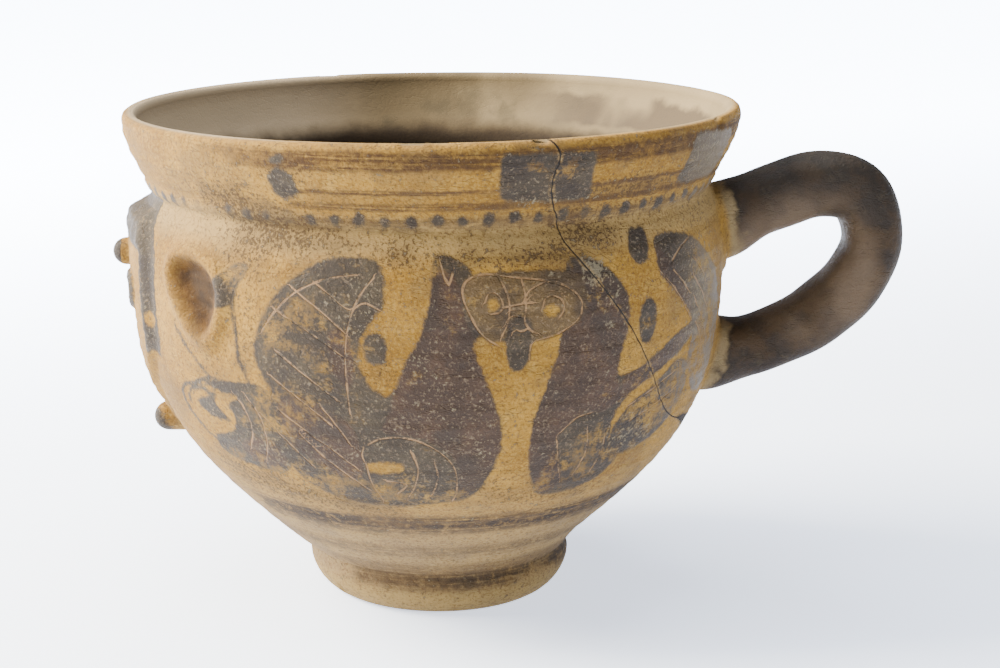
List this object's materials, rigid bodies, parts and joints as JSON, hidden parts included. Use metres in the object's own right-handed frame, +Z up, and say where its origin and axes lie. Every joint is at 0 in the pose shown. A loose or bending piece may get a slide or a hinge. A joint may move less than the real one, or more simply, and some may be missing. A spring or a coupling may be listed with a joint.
{
  "type": "black-figure cup",
  "caption": "Hollow thrown clay cup with a flaring lip, disc foot, one looped strap handle and a small mask in relief, painted with worn dark animal figures.",
  "frame": {"origin": "middle of the flat underside of the foot, on the surface that the cup stands on", "axes": "+Z up; +X from the foot's middle towards the handle; the mask in relief faces -X and the painted front faces -Y"},
  "size_m": [0.1431, 0.11, 0.0898],
  "materials": {
    "painted_earthenware": "matt buff clay with worn dark slip figures"
  },
  "bodies": {
    "root": {"cup": "painted_earthenware"}
  },
  "joints": []
}
